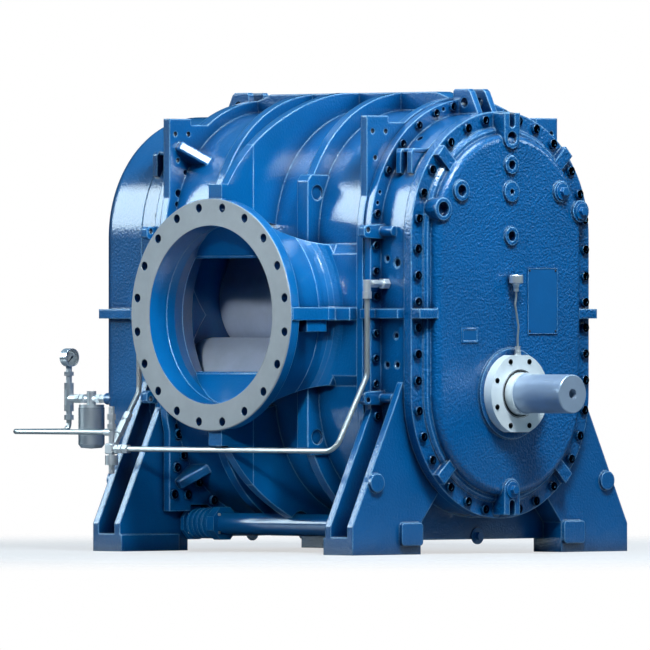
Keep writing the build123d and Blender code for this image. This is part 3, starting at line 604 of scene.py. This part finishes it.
def floor_material():
    """Dim for the light that falls on the pump, and pale where the camera sees it."""
    material, tree, shader = new_material("pale_floor")
    to_camera = tree.nodes.new("ShaderNodeLightPath").outputs["Is Camera Ray"]
    tree.links.new(ramp(tree, to_camera, (0.0, FLOOR_DARK), (1.0, FLOOR_PALE)), shader.inputs["Base Color"])
    shader.inputs["Roughness"].default_value = 0.3
    glow = tree.nodes.new("ShaderNodeEmission")
    glow.inputs["Color"].default_value = (*WHITE, 1.0)
    share = math_node(tree, "MULTIPLY", to_camera, FLOOR_GLOW)
    pale = mixed(tree, share, shader.outputs["BSDF"], glow.outputs["Emission"])
    fade = mapped(tree, vector_node(tree, "LENGTH", object_place(tree)), FADE_START, FLOOR_R - 0.1)
    clear = tree.nodes.new("ShaderNodeBsdfTransparent")
    set_surface(tree, mixed(tree, fade, pale, clear.outputs["BSDF"]))
    return material


def add_floor():
    """A white floor that keeps the pump's shadow and fades into the backdrop."""
    work = bmesh.new()
    bmesh.ops.create_circle(work, cap_ends=True, segments=64, radius=FLOOR_R)
    mesh = bpy.data.meshes.new("floor")
    work.to_mesh(mesh)
    work.free()
    mesh.materials.append(floor_material())
    floor = bpy.data.objects.new("floor", mesh)
    bpy.context.scene.collection.objects.link(floor)


# The room's colour from straight down, at 0, to straight up, at 1.
ROOM_STOPS = (
    (0.0, (0.005, 0.02, 0.05)),
    (0.47, (0.005, 0.025, 0.06)),
    (0.58, (0.01, 0.07, 0.16)),
    (0.75, (0.06, 0.27, 0.50)),
    (1.0, (0.20, 0.50, 0.80)),
)
ROOM_STRENGTH = 0.5


def background(tree, strength):
    node = tree.nodes.new("ShaderNodeBackground")
    node.inputs["Color"].default_value = (*WHITE, 1.0)
    node.inputs["Strength"].default_value = strength
    return node


def add_world():
    """A dim room that is lighter overhead, seen by the camera and through glass as white."""
    world = bpy.data.worlds.new("studio")
    bpy.context.scene.world = world
    world.use_nodes = True
    tree = world.node_tree
    tree.nodes.clear()
    way = tree.nodes.new("ShaderNodeTexCoord").outputs["Generated"]
    room = background(tree, ROOM_STRENGTH)
    shade = ramp(tree, lifted(tree, split_vector(tree, way)["Z"]), *ROOM_STOPS)
    tree.links.new(shade, room.inputs["Color"])
    white = background(tree, 1.0)
    path = tree.nodes.new("ShaderNodeLightPath").outputs
    seen = math_node(tree, "MAXIMUM", path["Is Camera Ray"], path["Is Transmission Ray"])
    output = tree.nodes.new("ShaderNodeOutputWorld")
    sky = mixed(tree, seen, room.outputs["Background"], white.outputs["Background"])
    tree.links.new(sky, output.inputs["Surface"])


# ---- Lamps

LAMP_AIM = Vector((0.0, 0.0, MID_Z))
PORT_FACE = Vector((-0.70, 0.0, MID_Z))
COOL = (0.74, 0.92, 1.0)
DAYLIGHT = (0.82, 0.94, 1.0)
REFLECTOR_DISTANCE = 20.0


def aimed(lamp, target, way, distance):
    """Stands a lamp the way given from its target, and turns it to the target."""
    lamp.location = target + distance * Vector(way).normalized()
    lamp.rotation_euler = (target - lamp.location).to_track_quat("-Z", "Y").to_euler()
    bpy.context.scene.collection.objects.link(lamp)


def add_softbox(name, way, distance, size, radiance, colour, skin=True, sheen=True):
    """A rectangular lamp with the brightness it shows in a mirror.

    Without skin it only shows in reflections, and without sheen it shows in none.
    """
    width, height = size
    data = bpy.data.lights.new(name, "AREA")
    data.shape = "RECTANGLE"
    data.size = width
    data.size_y = height
    data.energy = radiance * math.pi * width * height
    data.color = colour
    lamp = bpy.data.objects.new(name, data)
    lamp.visible_diffuse = skin
    lamp.visible_glossy = sheen
    aimed(lamp, LAMP_AIM, way, distance)


def add_reflector(name, way, size, radiance):
    """A large far lamp that only shows in reflections."""
    add_softbox(name, way, REFLECTOR_DISTANCE, size, radiance, COOL, skin=False)


def add_port_spot():
    """A narrow lamp that shows the rotors through the inlet."""
    data = bpy.data.lights.new("port_spot", "SPOT")
    data.energy = 2900.0
    data.spot_size = math.radians(6.4)
    data.spot_blend = 0.2
    data.shadow_soft_size = 0.5
    lamp = bpy.data.objects.new("port_spot", data)
    aimed(lamp, PORT_FACE, (-0.80, -0.48, 0.36), 6.0)


add_floor()
add_world()
add_reflector("left_rear_reflector", (-0.60, 0.72, 0.33), (8.0, 9.0), 13.0)
add_reflector("right_reflector", (0.695, -0.60, 0.38), (7.0, 8.0), 9.0)
add_reflector("overhead_reflector", (0.0, -0.08, 1.0), (11.0, 11.0), 14.0)
add_softbox("overhead_softbox", (0.1, 0.5, 0.85), 8.0, (4.0, 3.0), 2.0, COOL)
add_softbox("back_softbox", (0.72, 0.62, 0.42), 8.0, (2.4, 2.4), 14.0, DAYLIGHT, sheen=False)
add_softbox("key_softbox", (-0.30, -0.66, 0.80), 5.0, (1.3, 1.3), 52.0, DAYLIGHT)
add_softbox("left_softbox", (-0.72, -0.28, 0.78), 8.0, (2.2, 2.2), 8.0, COOL)
add_port_spot()

bpy.context.scene.view_settings.view_transform = "Standard"
